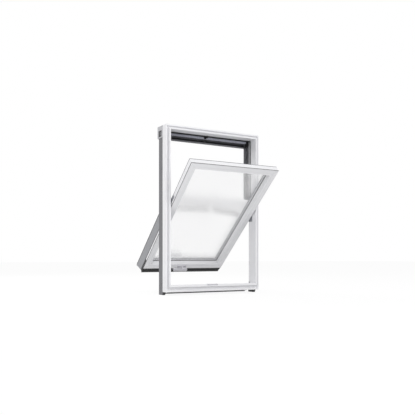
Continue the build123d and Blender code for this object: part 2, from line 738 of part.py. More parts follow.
# Glass unit with its spacer and gaskets

make_pane("inner_pane", INNER_PANE_DEPTH)
make_pane("outer_pane", OUTER_PANE_DEPTH)
make_ring(
    "glazing_spacer",
    INNER_PANE_DEPTH + PANE_THICKNESS,
    PANE_SPACE,
    GLASS_EDGE_INSET + SPACER_INSET,
    SPACER_WIDTH,
)
make_ring(
    "inner_glazing_gasket",
    GLASS_FLOOR,
    GASKET_THICKNESS,
    SASH_FACE + GASKET_PROUD - GASKET_WIDTH,
    GASKET_WIDTH,
)
make_ring(
    "outer_glazing_gasket",
    GLASS_TOP_DEPTH,
    OUTER_GASKET_THICKNESS,
    COVER_ON_GLASS - OUTER_GASKET_WIDTH,
    OUTER_GASKET_WIDTH + GASKET_PROUD,
)

# Covers across the sash's top and bottom

with BuildPart() as sash_top_cover:
    with BuildSketch(on_sash(sash_planes["top"])):
        cover_strip()
    extrude(amount=SASH_WIDTH)
    for side in (-1, 1):
        cut = mitre(side * SASH_WIDTH / 2, SASH_TOP, side, 1, (0, 0, SASH_TOP))
        split(bisect_by=on_sash(cut), keep=Keep.TOP)
finish(sash_top_cover, "sash_top_cover")

bottom_cover_width = SASH_WIDTH - 2 * (SIDE_RIB_WIDTH + FOLD_GAP)

with BuildPart() as sash_bottom_cover:
    with BuildSketch(on_sash(Plane.YZ.offset(-bottom_cover_width / 2))):
        glass_edge = SASH_BOTTOM + COVER_ON_GLASS - SHEET / 2
        sheet(
            [
                (SASH_Y + GLASS_TOP_DEPTH + OUTER_GASKET_THICKNESS, glass_edge),
                (SASH_Y + COVER_DEPTH - SHEET / 2, glass_edge),
                (SASH_Y + COVER_DEPTH - SHEET / 2, SASH_BOTTOM - BOTTOM_COVER_DROP),
                (SASH_Y + COVER_DEPTH - BOTTOM_COVER_TURN, SASH_BOTTOM - BOTTOM_COVER_DROP),
            ]
        )
    extrude(amount=bottom_cover_width)
finish(sash_bottom_cover, "sash_bottom_cover")

# Dark apron and seal under the sash, and the handle on its bottom rail

with BuildPart() as sash_bottom_apron:
    with BuildSketch(on_sash(Plane.YZ.offset(-SASH_WIDTH / 2))):
        with Locations((SASH_Y + SASH_APRON_START, SASH_BOTTOM)):
            Rectangle(SASH_APRON_DEPTH, SASH_APRON_DROP, align=(Align.MIN, Align.MAX))
        hollow_depth = SASH_APRON_DEPTH - SASH_APRON_THICKNESS
        hollow_height = SASH_APRON_DROP - 2 * SASH_APRON_THICKNESS
        hollow_start = SASH_Y + SASH_APRON_START + SASH_APRON_THICKNESS
        with Locations((hollow_start, SASH_BOTTOM - SASH_APRON_THICKNESS)):
            Rectangle(hollow_depth, hollow_height, align=(Align.MIN, Align.MAX), mode=Mode.SUBTRACT)
    extrude(amount=SASH_WIDTH)
finish(sash_bottom_apron, "sash_bottom_apron")

with BuildPart() as sash_bottom_seal:
    with BuildSketch(on_sash(Plane.YZ.offset(-SASH_WIDTH / 2))):
        seal_foot = SASH_BOTTOM - SASH_APRON_DROP + SASH_SEAL_LIFT
        with Locations((SASH_Y + SASH_APRON_START, seal_foot)):
            Rectangle(SASH_SEAL_WIDTH, SASH_SEAL_HEIGHT, align=(Align.MAX, Align.MIN))
        fillet(vertices().group_by(Axis.X)[0], SOFT_ROUND)
    extrude(amount=SASH_WIDTH)
finish(sash_bottom_seal, "sash_bottom_seal")

handle_height = SASH_BOTTOM + HANDLE_HEIGHT_ON_RAIL
handle_plane = on_sash(Plane((HANDLE_OFFSET, SASH_Y, handle_height), x_dir=(1, 0, 0), z_dir=(0, -1, 0)))
toward_room = Axis(handle_plane.origin, handle_plane.z_dir)

with BuildPart() as handle_base:
    with BuildSketch(handle_plane):
        RectangleRounded(HANDLE_BASE_LENGTH, HANDLE_BASE_HEIGHT, HANDLE_BASE_ROUND)
    extrude(amount=HANDLE_BASE_THICKNESS)
    chamfer(faces().sort_by(toward_room)[-1].edges(), HANDLE_BASE_CHAMFER)
    with BuildSketch(handle_plane.offset(HANDLE_BASE_THICKNESS)):
        Circle(HANDLE_NECK_RADIUS)
    extrude(amount=HANDLE_NECK_LENGTH)
finish(handle_base, "handle_base")

with BuildPart() as handle_lever:
    with BuildSketch(handle_plane.offset(HANDLE_BASE_THICKNESS + HANDLE_NECK_LENGTH)):
        tip = LEVER_SHORT_END - LEVER_LENGTH
        section(
            [
                (LEVER_SHORT_END, LEVER_HEIGHT / 2),
                (tip, LEVER_TIP_HEIGHT / 2),
                (tip, -LEVER_TIP_HEIGHT / 2),
                (LEVER_SHORT_END, -LEVER_HEIGHT / 2),
            ]
        )
        fillet(vertices(), LEVER_CORNER_ROUND)
    extrude(amount=LEVER_THICKNESS)
    fillet(faces().sort_by(toward_room)[-1].edges(), LEVER_ROUND)
finish(handle_lever, "handle_lever")
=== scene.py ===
"""Looks of a centre-pivot roof window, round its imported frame. Metres; +Z up, +Y to the outside."""

import json
import math

import bmesh
import bpy
from mathutils import Matrix, Vector


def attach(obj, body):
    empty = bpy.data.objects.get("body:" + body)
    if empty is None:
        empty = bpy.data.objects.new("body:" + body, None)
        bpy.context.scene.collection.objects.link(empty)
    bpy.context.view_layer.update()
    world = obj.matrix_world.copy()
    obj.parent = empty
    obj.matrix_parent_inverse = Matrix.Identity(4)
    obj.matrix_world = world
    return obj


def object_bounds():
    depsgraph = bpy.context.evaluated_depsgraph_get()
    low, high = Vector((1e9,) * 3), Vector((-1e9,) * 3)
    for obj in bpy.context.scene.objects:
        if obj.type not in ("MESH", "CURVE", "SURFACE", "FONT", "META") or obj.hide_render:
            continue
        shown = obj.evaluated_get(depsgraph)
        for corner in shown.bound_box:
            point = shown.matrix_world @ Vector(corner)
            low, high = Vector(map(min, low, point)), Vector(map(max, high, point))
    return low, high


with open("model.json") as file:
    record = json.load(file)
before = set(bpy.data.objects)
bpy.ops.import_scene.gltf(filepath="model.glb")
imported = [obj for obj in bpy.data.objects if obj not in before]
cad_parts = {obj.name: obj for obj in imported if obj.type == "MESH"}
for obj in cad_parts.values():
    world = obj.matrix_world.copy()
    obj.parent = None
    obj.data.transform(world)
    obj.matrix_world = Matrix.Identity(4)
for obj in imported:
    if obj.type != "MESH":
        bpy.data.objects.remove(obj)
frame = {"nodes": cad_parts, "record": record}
cad_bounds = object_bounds()
nodes = frame["nodes"]


# Colour and node helpers

def linear(hex_colour):
    """An sRGB hex colour as linear, opaque RGBA."""
    channels = [int(hex_colour[i:i + 2], 16) / 255 for i in (1, 3, 5)]
    return tuple(c / 12.92 if c <= 0.04045 else ((c + 0.055) / 1.055) ** 2.4 for c in channels) + (1.0,)


def add_node(tree, kind, settings=None, links=None):
    """Adds one node: its properties or unlinked inputs, then its inputs linked from other sockets."""
    node = tree.nodes.new(kind)
    for key, value in (settings or {}).items():
        if isinstance(key, str) and key.islower():
            setattr(node, key, value)
        else:
            node.inputs[key].default_value = value
    for key, source in (links or {}).items():
        tree.links.new(source, node.inputs[key])
    return node


def new_material(name):
    """An empty node material, its tree and its output."""
    material = bpy.data.materials.new(name)
    material.use_nodes = True
    tree = material.node_tree
    tree.nodes.clear()
    output = tree.nodes.new("ShaderNodeOutputMaterial")
    return material, tree, output


# Camera of the photograph: its place, its heading to the right, and its level line below the middle

CAMERA_PLACE = (-1.9975, -3.5486, 0.2429)
CAMERA_HEADING = 28.91
CAMERA_LENS = 47.83
CAMERA_SHIFT_UP = 0.121

camera_data = bpy.data.cameras.new("camera")
camera_data.lens = CAMERA_LENS
camera_data.sensor_width = 36.0
camera_data.shift_y = CAMERA_SHIFT_UP
camera_data.clip_start = 0.05
camera = bpy.data.objects.new("camera", camera_data)
camera.location = CAMERA_PLACE
camera.rotation_euler = (math.radians(90), 0, math.radians(-CAMERA_HEADING))
bpy.context.scene.collection.objects.link(camera)
bpy.context.scene.camera = camera
bpy.context.scene.view_settings.view_transform = "Standard"


# Light: a pale world, a large soft lamp on the room side, a low one on the left, and one above the back

WORLD_LIGHT = 0.76
# Name, place, the point that it faces, side of its square in metres, and power in watts
LAMPS = (
    ("key_lamp", (0.2, -4.8, 2.9), (0, 0, 0.5), 3.6, 84),
    ("low_lamp", (-2.1, -1.2, 0.25), (-0.2, 0.0, 0.7), 0.6, 9.5),
    ("back_lamp", (-1.2, 3.2, 3.4), (0, 0, 0.3), 2.0, 60),
)


def seen_directly(tree):
    """One where the camera, a gloss or a glass looks, and zero where light is gathered."""
    path = add_node(tree, "ShaderNodeLightPath")
    seen = add_node(tree, "ShaderNodeMath", {"operation": "MAXIMUM"},
                    {0: path.outputs["Is Camera Ray"], 1: path.outputs["Is Glossy Ray"]})
    return add_node(tree, "ShaderNodeMath", {"operation": "MAXIMUM"},
                    {0: seen.outputs[0], 1: path.outputs["Is Transmission Ray"]})


def make_world():
    """Pale light all round, and plain white where the camera, a gloss or a glass looks at it."""
    world = bpy.data.worlds.new("studio")
    world.use_nodes = True
    tree = world.node_tree
    tree.nodes.clear()
    light = add_node(tree, "ShaderNodeBackground", {"Color": linear("#FFFFFF"), "Strength": WORLD_LIGHT})
    shown = add_node(tree, "ShaderNodeBackground", {"Color": linear("#FFFFFF"), "Strength": 1.0})
    mix = add_node(tree, "ShaderNodeMixShader", None,
                   {0: seen_directly(tree).outputs[0], 1: light.outputs[0], 2: shown.outputs[0]})
    output = tree.nodes.new("ShaderNodeOutputWorld")
    tree.links.new(mix.outputs[0], output.inputs["Surface"])
    bpy.context.scene.world = world


def add_lamp(name, place, target, size, power):
    """A square soft lamp that faces a point."""
    data = bpy.data.lights.new(name, "AREA")
    data.shape = "SQUARE"
    data.size = size
    data.energy = power
    lamp = bpy.data.objects.new(name, data)
    lamp.location = place
    direction = Vector(target) - Vector(place)
    lamp.rotation_euler = direction.to_track_quat("-Z", "Y").to_euler()
    lamp.visible_glossy = False
    bpy.context.scene.collection.objects.link(lamp)


make_world()
for lamp_row in LAMPS:
    add_lamp(*lamp_row)


# Floor that the window stands on: white where it is looked at, with a share that takes the shadow

FLOOR_HEIGHT = cad_bounds[0][2]
FLOOR_REACH = 30.0
FLOOR_SHADED_SHARE = 0.12


def make_floor():
    """White floor: mostly plain white where it is looked at, with a share that takes light and shadow."""
    shape = bmesh.new()
    bmesh.ops.create_grid(shape, x_segments=1, y_segments=1, size=FLOOR_REACH)
    bmesh.ops.translate(shape, verts=shape.verts, vec=(0, 0, FLOOR_HEIGHT))
    mesh = bpy.data.meshes.new("floor")
    shape.to_mesh(mesh)
    shape.free()
    floor = bpy.data.objects.new("floor", mesh)
    bpy.context.scene.collection.objects.link(floor)
    material, tree, output = new_material("white_floor")
    seen = seen_directly(tree)
    share = add_node(tree, "ShaderNodeMath", {"operation": "MULTIPLY", 1: 1 - FLOOR_SHADED_SHARE},
                     {0: seen.outputs[0]})
    # Pale grey where light is gathered, so that the floor throws less light up
    tone = add_node(tree, "ShaderNodeMix",
                    {"data_type": "RGBA", 6: linear("#D0D0D0"), 7: linear("#FFFFFF")}, {0: seen.outputs[0]})
    paint = add_node(tree, "ShaderNodeBsdfDiffuse", None, {"Color": tone.outputs[2]})
    white = add_node(tree, "ShaderNodeEmission", {"Color": linear("#FFFFFF"), "Strength": 1.0})
    mix = add_node(tree, "ShaderNodeMixShader", None,
                   {0: share.outputs[0], 1: paint.outputs[0], 2: white.outputs[0]})
    tree.links.new(mix.outputs[0], output.inputs["Surface"])
    floor.data.materials.append(material)


make_floor()


# Materials

SASH_ANGLE = 49.5
# How a pattern is drawn out, and how it is turned
DRAWN_OUT = 40.0
ALONG_X = ((DRAWN_OUT, 1.0, 1.0), (0.0, 0.0, 0.0))
ALONG_Z = ((1.0, 1.0, DRAWN_OUT), (0.0, 0.0, 0.0))
ALONG_STILES = ((1.0, 1.0, DRAWN_OUT), (math.radians(SASH_ANGLE), 0.0, 0.0))
ALL_WAYS = ((1.0, 1.0, 1.0), (0.0, 0.0, 0.0))
RAMP_START, RAMP_END = 0.35, 0.65
BROAD_TO_FINE = 25
RELIEF_STRENGTH = 0.5


def grain(tree, grain_mm, run=ALL_WAYS):
    """Noise of a real grain size on Object coordinates, drawn out along the way that a profile runs."""
    stretch, turn = run
    place = add_node(tree, "ShaderNodeTexCoord")
    mapped = add_node(tree, "ShaderNodeMapping",
                      {"vector_type": "TEXTURE", "Scale": stretch, "Rotation": turn},
                      {"Vector": place.outputs["Object"]})
    return add_node(tree, "ShaderNodeTexNoise", {"Scale": 1000.0 / grain_mm, "Detail": 3.0},
                    {"Vector": mapped.outputs["Vector"]})


def between(tree, noise, first, second):
    """Two near colours mixed by a noise."""
    ramp = add_node(tree, "ShaderNodeValToRGB", None, {"Fac": noise.outputs["Fac"]})
    ramp.color_ramp.elements[0].position = RAMP_START
    ramp.color_ramp.elements[1].position = RAMP_END
    ramp.color_ramp.elements[0].color = linear(first)
    ramp.color_ramp.elements[1].color = linear(second)
    return ramp


def surface(name, colours, roughness, grain_mm, bump_mm, shader, run=ALL_WAYS, broad_mm=None):
    """A shaded surface with slight changes of colour and gloss, and a fine relief."""
    material, tree, output = new_material(name)
    broad = grain(tree, broad_mm or grain_mm * BROAD_TO_FINE, run)
    fine = grain(tree, grain_mm, run)
    colour = between(tree, broad, *colours)
    gloss = add_node(tree, "ShaderNodeMapRange", {"To Min": roughness[0], "To Max": roughness[1]},
                     {"Value": fine.outputs["Fac"]})
    relief = add_node(tree, "ShaderNodeBump", {"Strength": RELIEF_STRENGTH, "Distance": bump_mm / 1000},
                      {"Height": fine.outputs["Fac"]})
    finish = add_node(tree, "ShaderNodeBsdfPrincipled", shader,
                      {"Base Color": colour.outputs["Color"], "Roughness": gloss.outputs["Result"],
                       "Normal": relief.outputs["Normal"]})
    tree.links.new(finish.outputs[0], output.inputs["Surface"])
    return material


def extruded_pvc(name, run):
    """Rigid white PVC: satin, with faint lines from the extruder's die, 2 mm apart, drawn at 5 mm."""
    return surface(name, ("#F0F0F2", "#ECECEF"), (0.28, 0.36), 2.0, 0.012, {"IOR": 1.53}, run,
                   broad_mm=5.0)


pvc_across = extruded_pvc("extruded_white_pvc_across", ALONG_X)
pvc_upright = extruded_pvc("extruded_white_pvc_upright", ALONG_Z)
pvc_stiles = extruded_pvc("extruded_white_pvc_on_stiles", ALONG_STILES)
# Welded PVC corner, milled back: a dull line
weld_pvc = surface("milled_pvc_weld", ("#D2D2D6", "#CACACE"), (0.5, 0.6), 0.8, 0.05, {"IOR": 1.53})
# Powder coat on folded aluminium: matt, with a fine orange peel of about 1.2 mm
powder_coat = surface("grey_powder_coated_aluminium", ("#717175", "#6B6B6F"), (0.42, 0.52), 1.2, 0.06,
                      {"IOR": 1.5})
# The sash's covers: the same coat in a lighter grey, hardly clouded; the lighter grey is painted light on the
# same coat
cover_coat_painted_lighter = surface("powder_coat_painted_lighter", ("#999A9E", "#95969A"), (0.38, 0.48), 1.2, 0.05,
                     {"IOR": 1.5})
# EPDM rubber: matt black or grey, a little dusty
black_epdm = surface("black_epdm_rubber", ("#1C1C1E", "#242426"), (0.55, 0.7), 0.8, 0.05, {"IOR": 1.5})
grey_epdm = surface("grey_epdm_rubber", ("#64646A", "#6E6E74"), (0.55, 0.7), 0.8, 0.05, {"IOR": 1.5})
# Moulded ASA and polyamide: a fine spark-eroded texture
light_asa = surface("light_grey_moulded_asa", ("#BEBEC2", "#B4B4B8"), (0.35, 0.45), 0.9, 0.03, {"IOR": 1.53})
black_polyamide = surface("black_moulded_polyamide", ("#131316", "#1C1C1F"), (0.4, 0.5), 0.8, 0.04,
                          {"IOR": 1.53})
# Vent profile of the hood: a pale bluish grey, satin, paler than its real paint: painted light that makes up
# for the hood's shade, which darkens it
vent_paint_lightened = surface("blue_grey_profile_painted_lighter", ("#B4B6C2", "#A4A6B2"), (0.4, 0.5), 1.0, 0.03, {"IOR": 1.5},
                     ALONG_X)
# Closed-cell foam: matt black with 1.5 mm cells
closed_foam = surface("black_closed_cell_foam", ("#242428", "#2C2C30"), (0.8, 0.95), 1.5, 0.2, {"IOR": 1.45})
# Zinc plating: soft metal gloss with a crystal mottle
zinc_plate = surface("zinc_plated_steel", ("#A8AAAE", "#989AA0"), (0.3, 0.42), 0.9, 0.02, {"Metallic": 1.0},
                     broad_mm=9.0)
# Lacquered zinc casting: silvery paint over a smooth casting
cast_lacquer = surface("silver_lacquered_zinc_casting", ("#D0CFD4", "#C6C5CB"), (0.3, 0.4), 1.5, 0.02,
                       {"IOR": 1.5})


VEIL_FACING, VEIL_SHALLOW, VEIL_ROUGHNESS = 0.11, 0.26, 0.13


def clear_glass():
    """Coated float glass: clear, with the thin milky veil of its coating and a sheen at shallow angles."""
    material, tree, output = new_material("coated_float_glass")
    facing = add_node(tree, "ShaderNodeLayerWeight", {"Blend": 0.5})
    share = add_node(tree, "ShaderNodeMapRange", {"To Min": VEIL_FACING, "To Max": VEIL_SHALLOW},
                     {"Value": facing.outputs["Facing"]})
    through = add_node(tree, "ShaderNodeBsdfTransparent", {"Color": linear("#FEFEFE")})
    veil = add_node(tree, "ShaderNodeBsdfGlossy", {"Color": linear("#FDFDFE"), "Roughness": VEIL_ROUGHNESS})
    mix = add_node(tree, "ShaderNodeMixShader", None,
                   {0: share.outputs["Result"], 1: through.outputs[0], 2: veil.outputs[0]})
    tree.links.new(mix.outputs[0], output.inputs["Surface"])
    return material


HOLE_PITCH_MM, HOLE_RADIUS = 7.0, 0.3


def perforated_spacer():
    """Rolled spacer bar: bright aluminium with a row of holes drawn as grey spots of painted shade; 3 mm
    apart on the real bar, drawn at 7 mm.
    """
    material, tree, output = new_material("perforated_spacer_aluminium")
    place = add_node(tree, "ShaderNodeTexCoord")
    turned = add_node(tree, "ShaderNodeMapping",
                      {"vector_type": "TEXTURE", "Rotation": (math.radians(SASH_ANGLE), 0.0, 0.0)},
                      {"Vector": place.outputs["Object"]})
    cells = add_node(tree, "ShaderNodeTexVoronoi", {"Scale": 1000.0 / HOLE_PITCH_MM, "Randomness": 0.0},
                     {"Vector": turned.outputs["Vector"]})
    # The holes are grey spots: painted shade inside the hollow bar
    hole_shade = add_node(tree, "ShaderNodeMath", {"operation": "LESS_THAN", 1: HOLE_RADIUS},
                    {0: cells.outputs["Distance"]})
    colour = add_node(tree, "ShaderNodeMix",
                      {"data_type": "RGBA", 6: linear("#EEEEF1"), 7: linear("#B2B3B8")}, {0: hole_shade.outputs[0]})
    fine = grain(tree, 0.8)
    gloss = add_node(tree, "ShaderNodeMapRange", {"To Min": 0.35, "To Max": 0.5},
                     {"Value": fine.outputs["Fac"]})
    # Only a little metallic: the bar stands between the panes, and the photograph shows it light
    bar = add_node(tree, "ShaderNodeBsdfPrincipled", {"Metallic": 0.15},
                   {"Base Color": colour.outputs[2], "Roughness": gloss.outputs["Result"]})
    tree.links.new(bar.outputs[0], output.inputs["Surface"])
    return material


float_glass = clear_glass()
spacer_bar = perforated_spacer()

FINISHES = {
    "white_pvc": pvc_upright,
    "grey_cladding": powder_coat,
    "black_rubber": black_epdm,
    "grey_rubber": grey_epdm,
    "black_plastic": black_polyamide,
    "light_grey_plastic": light_asa,
    "profile_grey": vent_paint_lightened,
    # The profile's slot takes the paint made paler: painted light
    "clear_glass": float_glass,
    "spacer_metal": spacer_bar,
    "guide_steel": zinc_plate,
    "handle_grey": cast_lacquer,
}
NODE_FINISHES = {
    "frame_head": pvc_across,
    "frame_bottom_rail": pvc_across,
    "sash_top_rail": pvc_across,
    "sash_bottom_rail": pvc_across,
    "sash_left_stile": pvc_stiles,
    "sash_right_stile": pvc_stiles,
    # The sash's covers take the coat painted lighter: painted light
    "left_lower_sash_cover": cover_coat_painted_lighter,
    "right_lower_sash_cover": cover_coat_painted_lighter,
    "left_upper_sash_cover": cover_coat_painted_lighter,
    "right_upper_sash_cover": cover_coat_painted_lighter,
    "sash_top_cover": cover_coat_painted_lighter,
    "sash_bottom_cover": cover_coat_painted_lighter,
}
slot_of = {part["node"]: part["material_slot"] for part in frame["record"]["subparts"]}
for name, node in nodes.items():
    node.data.materials.clear()
    node.data.materials.append(NODE_FINISHES.get(name, FINISHES[slot_of[name]]))


# Shapes in millimetres. A part of the sash is drawn in the closed place and swung open.

TURNING_AXIS = Vector((0.0, 113.5, 647.0))
SASH_SWING = (Matrix.Translation(TURNING_AXIS) @ Matrix.Rotation(math.radians(SASH_ANGLE), 4, "X")
              @ Matrix.Translation(-TURNING_AXIS))
FRAME_HALF_WIDTH, FRAME_FACE = 390.0, -48.5
SASH_HALF_WIDTH, SASH_FOOT, SASH_HEAD, SASH_FACE = 350.0, 56.0, 1139.0, -24.5
SASH_WIDTH, SASH_LENGTH, SASH_MIDDLE = 700.0, 1083.0, 597.5


def rounded_bar(width, depth, height, edge):
    """A bar with rounded edges, centred, its sizes along X, Y and Z."""
    shape = bmesh.new()
    bmesh.ops.create_cube(shape, size=1.0)
    bmesh.ops.scale(shape, vec=(width, depth, height), verts=shape.verts)
    bmesh.ops.bevel(shape, geom=shape.edges[:], offset=edge, offset_type="OFFSET", segments=2, profile=0.5,
                    affect="EDGES", material=-1)
    return shape


def rounded_ring(width, height, strip, depth, edge):
    """A rectangular ring of a strip inside its outline, standing on XZ, its depth towards +Y."""
    shape = bmesh.new()
    bmesh.ops.create_grid(shape, x_segments=1, y_segments=1, size=0.5)
    bmesh.ops.scale(shape, vec=(width, height, 1), verts=shape.verts)
    middle = shape.faces[:]
    bmesh.ops.inset_region(shape, faces=middle, thickness=strip, use_boundary=True, use_even_offset=True)
    bmesh.ops.delete(shape, geom=middle, context="FACES_ONLY")
    grown = bmesh.ops.extrude_face_region(shape, geom=shape.faces[:])["geom"]
    carried = [part for part in grown if isinstance(part, bmesh.types.BMVert)]
    bmesh.ops.translate(shape, vec=(0, 0, -depth), verts=carried)
    bmesh.ops.rotate(shape, matrix=Matrix.Rotation(math.radians(90), 3, "X"), verts=shape.verts)
    bmesh.ops.recalc_face_normals(shape, faces=shape.faces)
    sharp = [line for line in shape.edges if len(line.link_faces) == 2 and line.calc_face_angle() > 1]
    bmesh.ops.bevel(shape, geom=sharp, offset=edge, offset_type="OFFSET", segments=2, profile=0.5,
                    affect="EDGES", material=-1)
    return shape


SCREW_SIDES, LOBE_DEPTH, LOBE_HOLLOW = 18, 0.6, 0.72


def screw_head(radius, height):
    """A pan head with a six-lobed recess, its seat at zero and its axis along +Z."""
    shape = bmesh.new()
    bmesh.ops.create_cone(shape, cap_ends=True, segments=SCREW_SIDES, radius1=radius, radius2=radius,
                          depth=height)
    bmesh.ops.translate(shape, vec=(0, 0, height / 2), verts=shape.verts)
    top = max(shape.faces, key=lambda face: face.calc_center_median().z)
    bmesh.ops.bevel(shape, geom=top.edges[:], offset=min(height * 0.6, radius * 0.3),
                    offset_type="OFFSET", segments=3, profile=0.5, affect="EDGES", material=-1)
    top = max(shape.faces, key=lambda face: face.calc_center_median().z)
    bmesh.ops.inset_region(shape, faces=[top], thickness=radius * 0.25, use_boundary=True,
                           use_even_offset=True)
    hollows = [vert for number, vert in enumerate(top.verts) if number % 3 == 0]
    bmesh.ops.scale(shape, vec=(LOBE_HOLLOW, LOBE_HOLLOW, 1), verts=hollows)
    recess = bmesh.ops.extrude_discrete_faces(shape, faces=[top])["faces"]
    bmesh.ops.translate(shape, vec=(0, 0, -height * LOBE_DEPTH), verts=recess[0].verts)
    return shape


def placed(x, y, z, turn_x=0.0, turn_y=0.0, turn_z=0.0):
    """A place in millimetres, after turns in degrees about X, then Y, then Z."""
    turns = [Matrix.Rotation(math.radians(turn), 4, axis)
             for turn, axis in ((turn_z, "Z"), (turn_y, "Y"), (turn_x, "X"))]
    return Matrix.Translation((x, y, z)) @ turns[0] @ turns[1] @ turns[2]


def join(shapes_at):
    """One shape of several, each carried by its matrix."""
    whole = bmesh.new()
    for shape, matrix in shapes_at:
        shape.transform(matrix)
        carried = bpy.data.meshes.new("carried")
        shape.to_mesh(carried)
        shape.free()
        whole.from_mesh(carried)
        bpy.data.meshes.remove(carried)
    return whole


SHARP_ANGLE = 35


def add_piece(name, shape, material, swung=False):
    """Writes a shape, in millimetres, as a piece of the window, swung open where it is on the sash."""
    if swung:
        shape.transform(SASH_SWING)
    shape.transform(Matrix.Scale(0.001, 4))
    bmesh.ops.recalc_face_normals(shape, faces=shape.faces)
    mesh = bpy.data.meshes.new(name)
    shape.to_mesh(mesh)
    shape.free()
    mesh.shade_smooth()
    mesh.set_sharp_from_angle(angle=math.radians(SHARP_ANGLE))
    mesh.materials.append(material)
    piece = bpy.data.objects.new(name, mesh)
    bpy.context.scene.collection.objects.link(piece)
    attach(piece, "root")


def sash_ring(outset, strip, start, depth, edge):
    """A ring round the sash: how far outside its edge it starts, its strip, and its depths from the face."""
    ring = rounded_ring(SASH_WIDTH + 2 * outset, SASH_LENGTH + 2 * outset, strip, depth, edge)
    return ring, placed(0, SASH_FACE + start, SASH_MIDDLE)


# Seals, joints and welds of the sash

# Name, rings as (outset, strip, start, depth, edge), material and slot
SASH_RINGS = (
    ("sash_perimeter_seal", [(0.8, 2.4, 1.0, 4.6, 0.4)], black_epdm, "black_rubber"),
    ("sash_back_seal", [(0.7, 2.0, 40.5, 4.0, 0.4)], grey_epdm, "grey_rubber"),
    ("glazing_bead_joints", [(-6.0, 0.9, -0.12, 0.5, 0.1), (-31.0, 1.2, -0.12, 0.5, 0.1)], weld_pvc,
     "white_pvc"),
    ("glazing_bead_lip", [(-44.0, 3.0, -0.5, 1.5, 0.4)], pvc_stiles, "white_pvc"),
    ("inner_gasket_lip", [(-49.0, 2.2, 37.4, 4.0, 0.5)], black_epdm, "black_rubber"),
)
SEAM_THICKNESS, SEAM_EDGE, SEAM_LIFT = 0.6, 0.15, 0.12
RAIL_MIDDLE = 25.0
MITRE = 45


def make_sash_lines():
    """Perimeter seal behind the face's edge, back seal, glazing-bead joints, and welded corners."""
    for name, rings, material, slot in SASH_RINGS:
        add_piece(name, join([sash_ring(*ring) for ring in rings]), material, True)
    seams = []
    for side in (-1, 1):
        for height, rise in ((SASH_HEAD - RAIL_MIDDLE, side), (SASH_FOOT + RAIL_MIDDLE, -side)):
            seams.append((rounded_bar(63.0, SEAM_THICKNESS, 1.6, SEAM_EDGE),
                          placed(side * (SASH_HALF_WIDTH - RAIL_MIDDLE), SASH_FACE + SEAM_LIFT, height,
                                 turn_y=-MITRE * rise)))
    add_piece("sash_weld_seams", join(seams), weld_pvc, True)
    lip = [(rounded_bar(699.0, 1.8, 15.0, 0.6), placed(0, SASH_FACE + 9.5, 5.5))]
    add_piece("bottom_seal_lip", join(lip), black_epdm, True)


LIP_CORNER_X, UPPER_CORNER_Z, LOWER_CORNER_Z = 361.5, 1151.5, 42.0
LOWER_LIP_RISE, LOWER_LIP_RUN = 50, 34


def make_frame_welds():
    """Milled weld lines on the frame's inner lip at the four corners."""
    seams = []
    slope = math.degrees(math.atan2(LOWER_LIP_RISE, LOWER_LIP_RUN))
    face = FRAME_FACE - SEAM_LIFT + 0.3
    for side in (-1, 1):
        for length, height, turn in ((15.0, UPPER_CORNER_Z, -MITRE), (19.0, LOWER_CORNER_Z, slope)):
            seams.append((rounded_bar(length, SEAM_THICKNESS, 1.4, SEAM_EDGE),
                          placed(side * LIP_CORNER_X, face, height, turn_y=turn * side)))
    add_piece("frame_weld_seams", join(seams), weld_pvc)


LINER_LENGTH = 676.0


def make_sill_liner():
    """White liner that the sill's seal is clipped on, over the cladding's upper leaf."""
    liner = [(rounded_bar(LINER_LENGTH, 65.0, 2.6, 0.6), placed(0, 15.5, 10.6)),
             (rounded_bar(LINER_LENGTH, 3.0, 3.2, 0.5), placed(0, -15.5, 9.7))]
    add_piece("sill_liner", join(liner), pvc_across)


make_sash_lines()
make_frame_welds()
make_sill_liner()


# Screws and fittings of the guides, handle and keeper

# Heads as radius and height, faces as X beside the middle, and backs as Y
GUIDE_HEAD, ARM_HEAD, SIDE_HEAD, COVER_HEAD = (3.2, 0.4), (3.4, 0.35), (4.0, 1.6), (4.0, 1.8)
KEEPER_HEAD, HANDLE_HEAD, BUSH_HEAD = (3.4, 1.2), (4.0, 1.2), (5.5, 1.4)
GUIDE_PLATE_FACE, ARM_FACE, SIDE_CLADDING_FACE = 353.1, 352.4, 389.6
UPPER_COVER_MIDDLE, UPPER_COVER_BACK = 354.0, 85.4
HOOD_SCREW_PLACE, HOOD_BACK = 376.0, 103.4
SASH_COVER_MIDDLE = 322.0
GUIDE_SCREW_SPOTS = ((9.0, 530.0), (39.0, 530.0), (9.0, 712.0), (39.0, 712.0))
ARM_SCREW_HEIGHTS = (590.0, 640.0, 700.0, 795.0)
SIDE_SCREW_HEIGHTS = (60.0, 330.0, 600.0, 870.0, 1060.0)
UPPER_COVER_SCREW_HEIGHTS = (730.0, 900.0, 1060.0)
HOOD_SCREW_HEIGHTS = (1112.0, 1160.0)
SASH_COVER_SCREW_HEIGHTS = (90.0, 240.0, 390.0, 540.0)
RAIL_COVER_SCREW_PLACES = (-270.0, -90.0, 90.0, 270.0)
RAIL_COVER_MIDDLES = (40.0, 1112.0)
COVER_DEPTH = SASH_FACE + 71.4
LEVER_HEIGHT = 80.0


